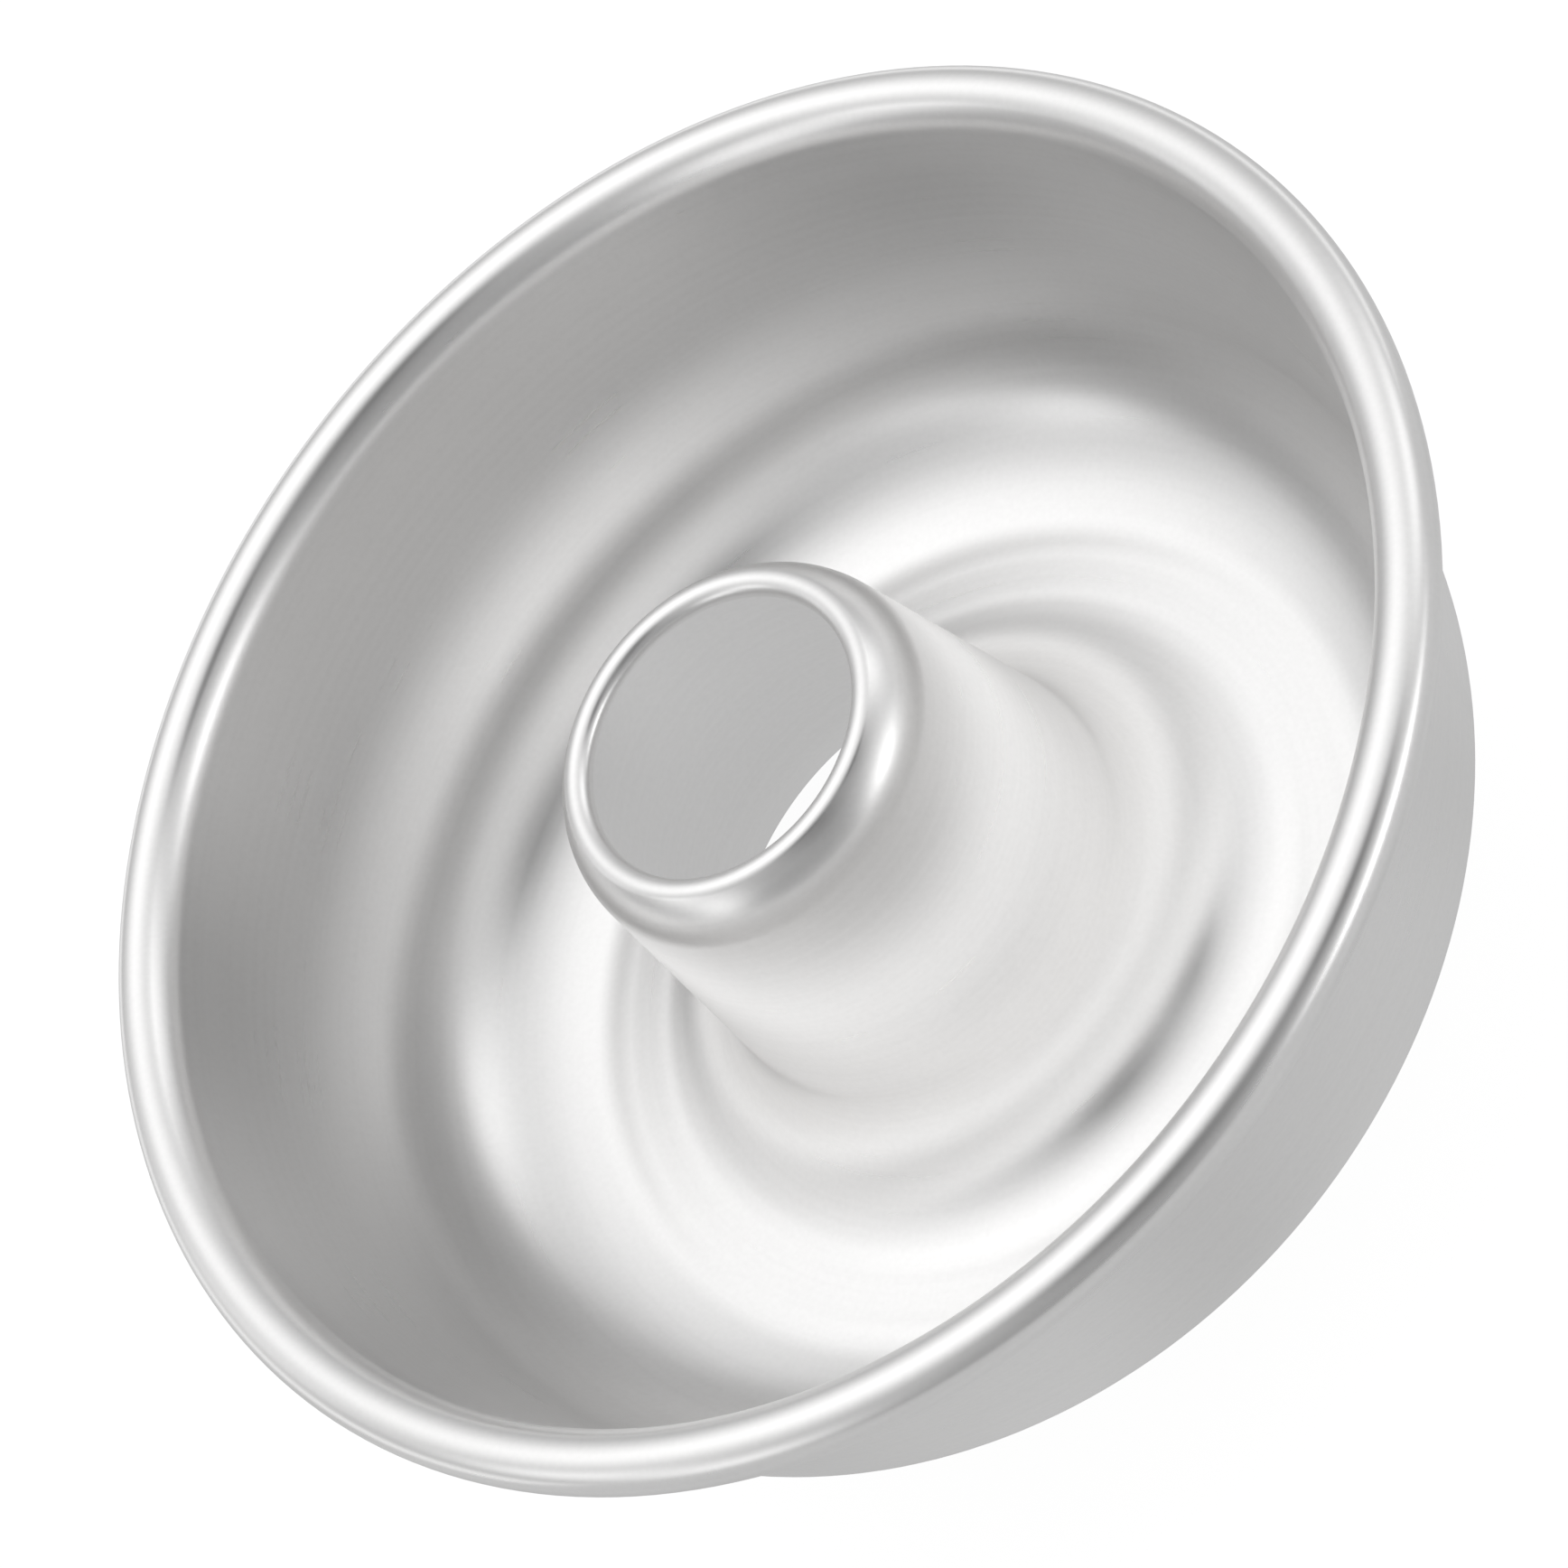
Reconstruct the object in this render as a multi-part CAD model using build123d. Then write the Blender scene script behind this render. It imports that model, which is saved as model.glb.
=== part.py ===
from build123d import *
import math
import os

# An angel food cake pan: one sheet of spun aluminium that forms the centre tube, the floor, the flared wall
# and a rim rolled outward over a wire. The origin is on the pan's axis, in the plane that it stands on.

# Driving dimensions in millimetres, and in degrees where they are angles
sheet_thickness = 1.2
rim_diameter = 190.0
rim_height = 61.5
rim_flank_radius = 8.0
rim_flank_end_angle = 140.0
wire_diameter = 5.0
wire_clearance = 0.1
curl_edge_gap = 0.15
wall_taper = 11.0
base_corner_radius = 26.0
tube_rise = 1.9
bore_diameter = 38.0
lip_land = 0.4
lip_bend_radius = 0.7
lip_bend_end_angle = 45.0
shoulder_radius = 12.0
tube_taper = 6.5
foot_fillet_radius = 18.0


def place(centre, radius, angle):
    """The point at a radius from a centre, at an angle from straight outward, with straight up at 90."""
    turn = math.radians(angle)
    return (centre[0] + radius * math.cos(turn), centre[1] + radius * math.sin(turn))


# Rolled rim: the wall eases outward through a wide flank, then rolls over and down, back to itself
curl_inner_radius = wire_diameter / 2 + wire_clearance
bead_radius = curl_inner_radius + sheet_thickness
bead_centre = (rim_diameter / 2 - bead_radius, rim_height - bead_radius)
flank_centre = place(bead_centre, bead_radius - rim_flank_radius, rim_flank_end_angle)
wall_angle = 180 - wall_taper
flank_swing = math.radians(wall_angle - rim_flank_end_angle)
wall_offset = curl_inner_radius + (rim_flank_radius - bead_radius) * (1 - math.cos(flank_swing))
curl_opening_angle = math.degrees(math.acos((wall_offset - curl_edge_gap) / bead_radius))
curl_end_angle = wall_angle - 360 + curl_opening_angle

# Base corner: tangent to the floor and to the flared wall that comes down from the flank
wall_slope = math.tan(math.radians(wall_taper))
corner_height = sheet_thickness + base_corner_radius
corner_inset = (base_corner_radius + rim_flank_radius) / math.cos(math.radians(wall_taper))
corner_reach = flank_centre[0] - corner_inset - (flank_centre[1] - corner_height) * wall_slope
corner_centre = (corner_reach, corner_height)

# Tube top: a tight bend into the bore, and a wider shoulder that is tangent to that bend and to the cone
tube_height = rim_height + tube_rise
lip_radius = lip_bend_radius + sheet_thickness
lip_centre = (bore_diameter / 2 + lip_radius, tube_height - lip_radius)
shoulder_centre = place(lip_centre, lip_radius - shoulder_radius, lip_bend_end_angle)
cone_top = place(shoulder_centre, shoulder_radius, tube_taper)

# Tube foot: a fillet that is tangent to the cone and to the floor
cone_slope = math.tan(math.radians(tube_taper))
fillet_height = sheet_thickness + foot_fillet_radius
cone_foot_height = fillet_height - foot_fillet_radius * math.sin(math.radians(tube_taper))
cone_foot_reach = cone_top[0] + (cone_top[1] - cone_foot_height) * cone_slope
fillet_reach = cone_foot_reach + foot_fillet_radius * math.cos(math.radians(tube_taper))
fillet_centre = (fillet_reach, fillet_height)


def bend(centre, radius, first_angle, last_angle):
    """The start, middle and end of one round bend in the sheet's outline."""
    return [place(centre, radius, angle) for angle in (first_angle, (first_angle + last_angle) / 2, last_angle)]


def sheet_side(depth):
    """One side of the sheet, from the edge in the bore to the rim's, at a depth under the food side."""
    lip = bend(lip_centre, lip_radius - depth, 180, lip_bend_end_angle)
    shoulder = bend(shoulder_centre, shoulder_radius - depth, lip_bend_end_angle, tube_taper)
    fillet = bend(fillet_centre, foot_fillet_radius + depth, 180 + tube_taper, 270)
    corner = bend(corner_centre, base_corner_radius + depth, 270, 360 - wall_taper)
    flank = bend(flank_centre, rim_flank_radius - depth, wall_angle, rim_flank_end_angle)
    curl = bend(bead_centre, bead_radius - depth, rim_flank_end_angle, curl_end_angle)
    bore_edge = (lip[0][0], lip[0][1] - lip_land)
    edges = [
        Line(bore_edge, lip[0]),
        ThreePointArc(*lip),
        ThreePointArc(*shoulder),
        Line(shoulder[2], fillet[0]),
        ThreePointArc(*fillet),
        Line(fillet[2], corner[0]),
        ThreePointArc(*corner),
        Line(corner[2], flank[0]),
        ThreePointArc(*flank),
        ThreePointArc(*curl),
    ]
    return bore_edge, edges, curl[2]


def pan_shell():
    """The whole sheet: both sides and the two cut edges, turned about the pan's axis."""
    food_bore_edge, food_side, food_rim_edge = sheet_side(0)
    under_bore_edge, under_side, under_rim_edge = sheet_side(sheet_thickness)
    cut_edges = [Line(food_bore_edge, under_bore_edge), Line(food_rim_edge, under_rim_edge)]
    return revolve(Plane.XZ * make_face(food_side + under_side + cut_edges), Axis.Z)


def rim_wire():
    """The wire ring that the rim is rolled over."""
    return revolve(Plane.XZ * Pos(*bead_centre) * Circle(wire_diameter / 2), Axis.Z)


os.makedirs("parts", exist_ok=True)
export_step(pan_shell(), "parts/pan_shell.step")
export_step(rim_wire(), "parts/rim_wire.step")
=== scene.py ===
import math

import bpy
import numpy as np
from mathutils import Matrix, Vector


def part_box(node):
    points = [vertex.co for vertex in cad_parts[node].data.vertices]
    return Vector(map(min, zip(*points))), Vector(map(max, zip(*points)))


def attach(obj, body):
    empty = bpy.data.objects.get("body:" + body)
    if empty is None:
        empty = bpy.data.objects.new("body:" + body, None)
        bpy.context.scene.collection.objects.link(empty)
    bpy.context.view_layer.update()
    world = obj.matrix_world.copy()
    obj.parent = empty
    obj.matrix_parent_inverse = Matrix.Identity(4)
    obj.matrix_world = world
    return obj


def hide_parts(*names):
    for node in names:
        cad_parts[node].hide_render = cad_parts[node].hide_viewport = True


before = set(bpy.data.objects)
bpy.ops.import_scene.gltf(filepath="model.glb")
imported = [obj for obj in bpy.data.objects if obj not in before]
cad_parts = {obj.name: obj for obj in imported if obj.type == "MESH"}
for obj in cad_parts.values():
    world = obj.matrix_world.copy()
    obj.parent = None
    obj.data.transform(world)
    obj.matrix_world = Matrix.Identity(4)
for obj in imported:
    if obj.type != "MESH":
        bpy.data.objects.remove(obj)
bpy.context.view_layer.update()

# The pan's own sizes, in metres and degrees. The rim's reach and the tube's height come from the frame. The
# reach is the lesser of the box's two, so that the sheet stays inside the box.
box_reach_x, box_reach_y, tube_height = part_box("pan_shell")[1]
rim_reach = min(box_reach_x, box_reach_y)
rim_height = 0.0615
sheet_thickness = 0.0012
rim_flank_radius = 0.008
rim_flank_end_angle = 140.0
wire_radius = 0.0025
wire_clearance = 0.0001
curl_edge_gap = 0.00015
wall_taper = 11.0
base_corner_radius = 0.026
bore_radius = 0.019
lip_land = 0.0004
lip_bend_radius = 0.0007
lip_bend_end_angle = 45.0
shoulder_radius = 0.012
tube_taper = 6.5
foot_fillet_radius = 0.018
cut_edge_round = 0.0002

# How finely the sheet is divided: steps round the axis, degrees along a bend, metres along the profile, and
# points over each rounding of a cut edge, its two ends included
steps_round = 216
bend_step = 6.0
food_side_step = 0.0006
under_side_step = 0.0012
line_step = 0.002
edge_round_points = 5

# Spinning ridges left in the floor: reach from the axis, height and half width of each. They start beyond the
# tube, and lie only where the sheet faces up by more than this share.
spinning_ridges = [
    (0.0446, -0.00001, 0.0008),
    (0.0492, 0.00001, 0.0009),
    (0.0548, 0.00006, 0.0013),
    (0.0585, -0.0001, 0.0022),
]
ridges_start = 0.038
ridges_least_up = 0.5


def radial(angle):
    """The unit vector at an angle in degrees from straight outward, with straight up at 90."""
    turn = math.radians(angle)
    return np.array([math.cos(turn), math.sin(turn)])


# Rolled rim: the wall eases outward through the flank, then rolls over and down, back to itself
bead_radius = wire_radius + wire_clearance + sheet_thickness
bead_centre = np.array([rim_reach - bead_radius, rim_height - bead_radius])
flank_centre = bead_centre + (bead_radius - rim_flank_radius) * radial(rim_flank_end_angle)
wall_angle = 180 - wall_taper
flank_swing = math.radians(wall_angle - rim_flank_end_angle)
flank_offset = (rim_flank_radius - bead_radius) * (1 - math.cos(flank_swing))
wall_offset = bead_radius - sheet_thickness + flank_offset
curl_opening_angle = math.degrees(math.acos((wall_offset - curl_edge_gap) / bead_radius))
curl_end_angle = wall_angle - 360 + curl_opening_angle

# Base corner, tangent to the floor and to the wall
corner_height = sheet_thickness + base_corner_radius
corner_inset = (base_corner_radius + rim_flank_radius) / math.cos(math.radians(wall_taper))
corner_drop = (flank_centre[1] - corner_height) * math.tan(math.radians(wall_taper))
corner_centre = np.array([flank_centre[0] - corner_inset - corner_drop, corner_height])

# Tube top: the lip's tight bend and the shoulder
lip_radius = lip_bend_radius + sheet_thickness
lip_centre = np.array([bore_radius + lip_radius, tube_height - lip_radius])
shoulder_centre = lip_centre + (lip_radius - shoulder_radius) * radial(lip_bend_end_angle)
cone_top = shoulder_centre + shoulder_radius * radial(tube_taper)

# Tube foot: the fillet, tangent to the cone and to the floor
fillet_height = sheet_thickness + foot_fillet_radius
cone_foot_height = fillet_height - foot_fillet_radius * math.sin(math.radians(tube_taper))
cone_foot_reach = cone_top[0] + (cone_top[1] - cone_foot_height) * math.tan(math.radians(tube_taper))
fillet_reach = cone_foot_reach + foot_fillet_radius * math.cos(math.radians(tube_taper))
fillet_centre = np.array([fillet_reach, fillet_height])


def arc(centre, radius, first_angle, last_angle, facing, step):
    """Points at a radius round a centre, each with its normal, which is the unit vector from the centre times
    facing. Neighbours are no further apart than the bend's step in degrees or the step in metres, whichever
    is less. Rows are reach, height, normal outward, normal upward."""
    swing = abs(last_angle - first_angle)
    count = math.ceil(max(swing / bend_step, math.radians(swing) * radius / step)) + 1
    turn = np.radians(np.linspace(first_angle, last_angle, count))
    way = np.stack([np.cos(turn), np.sin(turn)], axis=1)
    return np.hstack([centre + radius * way, facing * way])


def line(start, end, step):
    """Points between two rows, without the two, spaced evenly: each row is a straight blend of the two."""
    count = max(1, math.ceil(math.dist(start[:2], end[:2]) / step))
    share = np.linspace(0, 1, count + 1)[1:-1, None]
    return start * (1 - share) + end * share


def sheet_side(depth):
    """One side of the sheet from the bore's edge to the rim's, at a depth under the food side: arcs about the
    six bend centres, and straight stretches between them. Each end stops short by the cut edge's rounding."""
    facing, step = (1, food_side_step) if depth == 0 else (-1, under_side_step)
    curl_end = curl_end_angle + math.degrees(cut_edge_round / (bead_radius - depth))
    lip = arc(lip_centre, lip_radius - depth, 180, lip_bend_end_angle, facing, step)
    shoulder = arc(shoulder_centre, shoulder_radius - depth, lip_bend_end_angle, tube_taper, facing, step)
    fillet = arc(fillet_centre, foot_fillet_radius + depth, 180 + tube_taper, 270, -facing, step)
    corner = arc(corner_centre, base_corner_radius + depth, 270, 360 - wall_taper, -facing, step)
    flank = arc(flank_centre, rim_flank_radius - depth, wall_angle, rim_flank_end_angle, facing, step)
    curl = arc(bead_centre, bead_radius - depth, rim_flank_end_angle, curl_end, facing, step)
    bore_edge = lip[0] - np.array([0, lip_land - cut_edge_round, 0, 0])
    return np.vstack([
        bore_edge,
        lip,
        shoulder[1:],
        line(shoulder[-1], fillet[0], line_step),
        fillet,
        line(fillet[-1], corner[0], step),
        corner,
        line(corner[-1], flank[0], line_step),
        flank,
        curl[1:],
    ])


def cut_edge(first, second, travel):
    """The sheet's cut end from one side's last row to the other's: two quarter rounds with a flat between.
    Their points lie at the rounding's radius from their centres, and their normals turn from the first side's
    to travel, the direction in which the sheet ends, and on to the second side's."""
    turn = np.linspace(0, math.pi / 2, edge_round_points)[1:-1, None]
    first_normals = np.cos(turn) * first[2:] + np.sin(turn) * travel
    second_normals = np.sin(turn) * second[2:] + np.cos(turn) * travel
    first_round = first[:2] + cut_edge_round * (first_normals - first[2:])
    second_round = second[:2] + cut_edge_round * (second_normals - second[2:])
    middle = np.array([first[:2], second[:2]]) + cut_edge_round * (travel - np.array([first[2:], second[2:]]))
    flat = np.hstack([middle, [travel, travel]])
    rows = [np.hstack([first_round, first_normals]), flat, np.hstack([second_round, second_normals])]
    return np.vstack(rows)


def with_ridges(rows):
    """The food side with its spinning ridges: each adds, along the normal, its height times e to the minus
    square of the distance in reach over its half width, and the normal leans back by the slope of that."""
    reach, up = rows[:, 0], rows[:, 3]
    lift, slope = np.zeros(len(rows)), np.zeros(len(rows))
    for middle, height, half_width in spinning_ridges:
        away = (reach - middle) / half_width
        swell = height * np.exp(-away ** 2) * (up > ridges_least_up) * (reach > ridges_start)
        lift += swell
        slope += -2 * away / half_width * swell * up
    along = rows[:, [3, 2]] * np.array([1, -1])
    normals = rows[:, 2:] - slope[:, None] * along
    normals /= np.linalg.norm(normals, axis=1, keepdims=True)
    return np.hstack([rows[:, :2] + lift[:, None] * rows[:, 2:], normals])


def turned(name, profile):
    """A profile turned about the Z axis: the point (reach, height) at a turn goes to (reach cos turn,
    reach sin turn, height), and its normal turns with it. The profile is a loop, so its last row joins its
    first."""
    turn = np.arange(steps_round) * 2 * math.pi / steps_round
    swing = np.stack([np.cos(turn), np.sin(turn)], axis=1)[:, None, :]
    rows = len(profile)

    def sweep(reach, height):
        flat = swing * reach[None, :, None]
        up = np.broadcast_to(height[None, :, None], (steps_round, rows, 1))
        return np.concatenate([flat, up], axis=2).reshape(-1, 3)

    points = sweep(profile[:, 0], profile[:, 1])
    normals = sweep(profile[:, 2], profile[:, 3])
    here, low = np.arange(steps_round)[:, None], np.arange(rows)[None, :]
    there, high = (here + 1) % steps_round, (low + 1) % rows
    faces = [here * rows + low, here * rows + high, there * rows + high, there * rows + low]
    corners = np.stack(faces, axis=2)
    mesh = bpy.data.meshes.new(name)
    mesh.from_pydata(points.tolist(), [], corners.reshape(-1, 4).tolist())
    mesh.polygons.foreach_set("use_smooth", np.ones(len(mesh.polygons), bool))
    mesh.normals_split_custom_set_from_vertices(normals.tolist())
    mesh.validate()
    piece = bpy.data.objects.new(name, mesh)
    bpy.context.scene.collection.objects.link(piece)
    return piece


class Sock:
    """An output socket of a shader node. Arithmetic on it adds Math nodes."""

    def __init__(self, tree, socket=None):
        self.tree = tree
        self.socket = socket

    def node(self, kind, settings=None, values=None, output=0):
        """A node of any other kind: its settings first, then the value or link of each named input."""
        made = self.tree.nodes.new(kind)
        for name, value in (settings or {}).items():
            setattr(made, name, value)
        for name, value in (values or {}).items():
            if isinstance(value, Sock):
                self.tree.links.new(value.socket, made.inputs[name])
            else:
                made.inputs[name].default_value = value
        return Sock(self.tree, made.outputs[output] if made.outputs else None)

    def math(self, operation, *values):
        """A Math node on the given numbers and sockets."""
        return self.node("ShaderNodeMath", {"operation": operation}, dict(enumerate(values)))

    def __add__(self, other):
        return self.math("ADD", self, other)

    def __sub__(self, other):
        return self.math("SUBTRACT", self, other)

    def __rsub__(self, other):
        return self.math("SUBTRACT", other, self)

    def __mul__(self, other):
        return self.math("MULTIPLY", self, other)

    __radd__ = __add__
    __rmul__ = __mul__


def fresh_tree(owner):
    """The emptied node tree of a material or world."""
    owner.use_nodes = True
    owner.node_tree.nodes.clear()
    return Sock(owner.node_tree)


def noise(where, scale, detail):
    """Smooth noise from 0 to 1 at a vector: scale is its patches to a metre, detail its finer layers."""
    return where.node("ShaderNodeTexNoise", values={"Vector": where, "Scale": scale, "Detail": detail})


white = (1, 1, 1, 1)
noise_middle = 0.5

# Satin anodised aluminium. The rings and the grain have equal shares in its tone.
mean_share = 0.5
satin_dark = (0.874, 0.87, 0.866, 1)
satin_light = (0.994, 0.99, 0.986, 1)
satin_roughness = 0.29
ring_scale = 1000
ring_detail = 2
ring_depth = 0.0000008
ring_roughness_swing = 0.06
cloud_scale = 40
cloud_detail = 3
cloud_roughness_swing = 0.05
grain_scale = 1400
grain_detail = 2


def satin_aluminium():
    """Spun, satin anodised sheet: fine rings about the axis that vary the tone and roughness and ripple the
    surface, a fine grain that varies the tone, and clouds that vary the roughness. The rings are noise read
    at the reach from the axis and the height, so each is the same all the way round. A colour Mix node has
    its factor at input 0, its colours at 6 and 7, and its result at output 2."""
    material = bpy.data.materials.new("satin_aluminium")
    start = fresh_tree(material)
    place = start.node("ShaderNodeTexCoord", output="Object")
    across = place.node("ShaderNodeVectorMath", {"operation": "MULTIPLY"}, {0: place, 1: (1, 1, 0)})
    reach = across.node("ShaderNodeVectorMath", {"operation": "LENGTH"}, {0: across}, output="Value")
    height = place.node("ShaderNodeSeparateXYZ", values={0: place}, output="Z")
    rings = noise(place.node("ShaderNodeCombineXYZ", values={0: reach, 1: height}), ring_scale, ring_detail)
    clouds = noise(place, cloud_scale, cloud_detail)
    ring_gloss = (rings - noise_middle) * ring_roughness_swing
    cloud_gloss = (clouds - noise_middle) * cloud_roughness_swing
    roughness = satin_roughness + ring_gloss + cloud_gloss
    grain = noise(place, grain_scale, grain_detail)
    tones = {0: (rings + grain) * mean_share, 6: satin_dark, 7: satin_light}
    tone = start.node("ShaderNodeMix", {"data_type": "RGBA"}, tones, output=2)
    ripple = rings.node("ShaderNodeBump", values={"Height": rings, "Distance": ring_depth})
    surface = start.node("ShaderNodeBsdfPrincipled", values={
        "Base Color": tone,
        "Metallic": 1,
        "Roughness": roughness,
        "Normal": ripple,
    })
    start.node("ShaderNodeOutputMaterial", values={"Surface": surface})
    return material


# Drawn steel
steel_colour = (0.55, 0.56, 0.58, 1)
steel_roughness = 0.3
drawn_scale = 900
drawn_detail = 2
drawn_roughness_swing = 0.15


def steel_wire():
    """Plain drawn steel, hidden in the rolled rim: noise adds to its roughness."""
    material = bpy.data.materials.new("steel_wire")
    start = fresh_tree(material)
    place = start.node("ShaderNodeTexCoord", output="Object")
    drawn = noise(place, drawn_scale, drawn_detail)
    surface = start.node("ShaderNodeBsdfPrincipled", values={
        "Base Color": steel_colour,
        "Metallic": 1,
        "Roughness": steel_roughness + drawn * drawn_roughness_swing,
    })
    start.node("ShaderNodeOutputMaterial", values={"Surface": surface})
    return material


# The sheet, in one piece, over the CAD shell
food_side = sheet_side(0)
under_side = sheet_side(sheet_thickness)
rim_edge = cut_edge(food_side[-1], under_side[-1], food_side[-1, [3, 2]] * np.array([1, -1]))
bore_edge = cut_edge(under_side[0], food_side[0], np.array([0, -1]))
pan_sheet = turned("pan_sheet", np.vstack([with_ridges(food_side), rim_edge, under_side[::-1], bore_edge]))
pan_sheet.data.materials.append(satin_aluminium())
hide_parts("pan_shell")
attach(pan_sheet, "root")

rim_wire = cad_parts["rim_wire"]
rim_wire.data.materials.clear()
rim_wire.data.materials.append(steel_wire())

# The studio's pale floor, a little under the pan. The camera sees it mostly as white. Near the pan the metal
# sees dim and bright patches of glow, a painted shadow of the pan in uneven painted shade, and an even level
# further off, behind it.
floor_half = 3.0
floor_drop = 0.0002
floor_colour = (0.8, 0.8, 0.8, 1)
floor_white = 1.16
camera_white_share = 0.8
# Painted shadow: the glow levels of the floor near the pan as the metal sees it, dimmer than the far level,
# in dim and light patches
painted_shadow_dim_level = 0.44
painted_shadow_light_level = 0.7
far_floor_level = 1.0
near_floor_reach = 0.3
painted_shade_patch_scale = 14
painted_shade_patch_detail = 1


def studio_floor():
    """A square sheet whose matt part keeps the pan's shadow, mixed with glows for camera and metal; near the
    pan the glow the metal sees is a painted shadow in patches.
    """
    mesh = bpy.data.meshes.new("studio_floor")
    ends = (-floor_half, floor_half)
    mesh.from_pydata([(x, y, -floor_drop) for x in ends for y in ends], [], [(0, 2, 3, 1)])
    floor = bpy.data.objects.new("studio_floor", mesh)
    bpy.context.scene.collection.objects.link(floor)
    material = bpy.data.materials.new("studio_floor")
    start = fresh_tree(material)
    place = start.node("ShaderNodeTexCoord", output="Object")
    distance = place.node("ShaderNodeVectorMath", {"operation": "LENGTH"}, {0: place}, output="Value")
    behind = place.node("ShaderNodeSeparateXYZ", values={0: place}, output="Y")
    far_off = distance.math("GREATER_THAN", distance, near_floor_reach)
    beyond = far_off * behind.math("GREATER_THAN", behind, 0)

    def glow(strength):
        return start.node("ShaderNodeEmission", values={"Color": white, "Strength": strength})

    def mix(share, first, second):
        return start.node("ShaderNodeMixShader", values={0: share, 1: first, 2: second})

    matt = start.node("ShaderNodeBsdfDiffuse", values={"Color": floor_colour})
    in_camera = start.node("ShaderNodeLightPath", output="Is Camera Ray")
    in_metal = start.node("ShaderNodeLightPath", output="Is Glossy Ray")
    # Painted shadow and shade: near the pan the metal sees the floor as patches between a dim and a lighter
    # glow
    painted_shade_patches = noise(place, painted_shade_patch_scale, painted_shade_patch_detail)
    painted_shadow_near = mix(painted_shade_patches, glow(painted_shadow_dim_level), glow(painted_shadow_light_level))
    reflected = mix(beyond, painted_shadow_near, glow(far_floor_level))
    matt_or_reflected = mix(in_metal, matt, reflected)
    seen = mix(in_camera * camera_white_share, matt_or_reflected, glow(floor_white))
    start.node("ShaderNodeOutputMaterial", values={"Surface": seen})
    mesh.materials.append(material)
    return floor


studio_floor()

# The studio's light: one soft surround at an even level, never under the darkest one, with a list of soft
# lights. Each has its turn from straight back towards the right, its angle from overhead, its strength, which
# is negative for a darker part, and how sharply it falls off.
surround_level = 0.275
darkest_level = 0.02
soft_lights = [
    (-20, 23, 0.71, 4.5),
    (74, 29, 0.36, 1.5),
    (91, 65, 0.75, 26),
    (-81, 66, 0.78, 49),
    (-106, 76, 0.9, 40),
    (-43, 74, 0.38, 33),
    (138, 42, -1.11, 77),
    (180, 45, -0.3, 20),
    (-157, 33, -0.39, 40),
    (140, 105, 6.0, 18),
]


def studio_surround():
    """The world's light: a level, plus for each soft light its strength times e to the power of its sharpness
    times the cosine of the angle to its direction less one. The camera sees it as white."""
    world = bpy.data.worlds.new("studio_surround")
    start = fresh_tree(world)
    way = start.node("ShaderNodeTexCoord", output="Generated")
    level = surround_level
    for turn, tilt, strength, sharpness in soft_lights:
        turn, tilt = math.radians(turn), math.radians(tilt)
        centre = (math.sin(turn) * math.sin(tilt), math.cos(turn) * math.sin(tilt), math.cos(tilt))
        both = {0: way, 1: centre}
        cosine = way.node("ShaderNodeVectorMath", {"operation": "DOT_PRODUCT"}, both, output="Value")
        fall = (cosine - 1) * sharpness
        level = level + fall.math("EXPONENT", fall) * strength
    in_camera = start.node("ShaderNodeLightPath", output="Is Camera Ray")
    level = level.math("MAXIMUM", level, darkest_level) * (1 - in_camera) + in_camera
    surround = start.node("ShaderNodeBackground", values={"Color": white, "Strength": level})
    start.node("ShaderNodeOutputWorld", values={"Surface": surround})
    bpy.context.scene.world = world


studio_surround()

# The camera, aimed at a point on the pan's axis
sensor_width = 36.0
lens_length = 124.4
nearest_seen = 0.0012
camera_distance = 0.6702
camera_elevation = 47.87
camera_roll = -53.04
aim_height = 0.0472


def studio_camera():
    """A camera that looks along +Y and down at its elevation, rolled about its own line of sight."""
    camera = bpy.data.cameras.new("studio_camera")
    camera.sensor_width = sensor_width
    camera.lens = lens_length
    camera.clip_start = nearest_seen
    holder = bpy.data.objects.new("studio_camera", camera)
    tilt = Matrix.Rotation(math.radians(90 - camera_elevation), 4, "X")
    roll = Matrix.Rotation(math.radians(camera_roll), 4, "Z")
    back = Matrix.Translation((0, 0, camera_distance))
    holder.matrix_world = Matrix.Translation((0, 0, aim_height)) @ tilt @ back @ roll
    bpy.context.scene.collection.objects.link(holder)
    bpy.context.scene.camera = holder


studio_camera()
bpy.context.scene.view_settings.view_transform = "Standard"
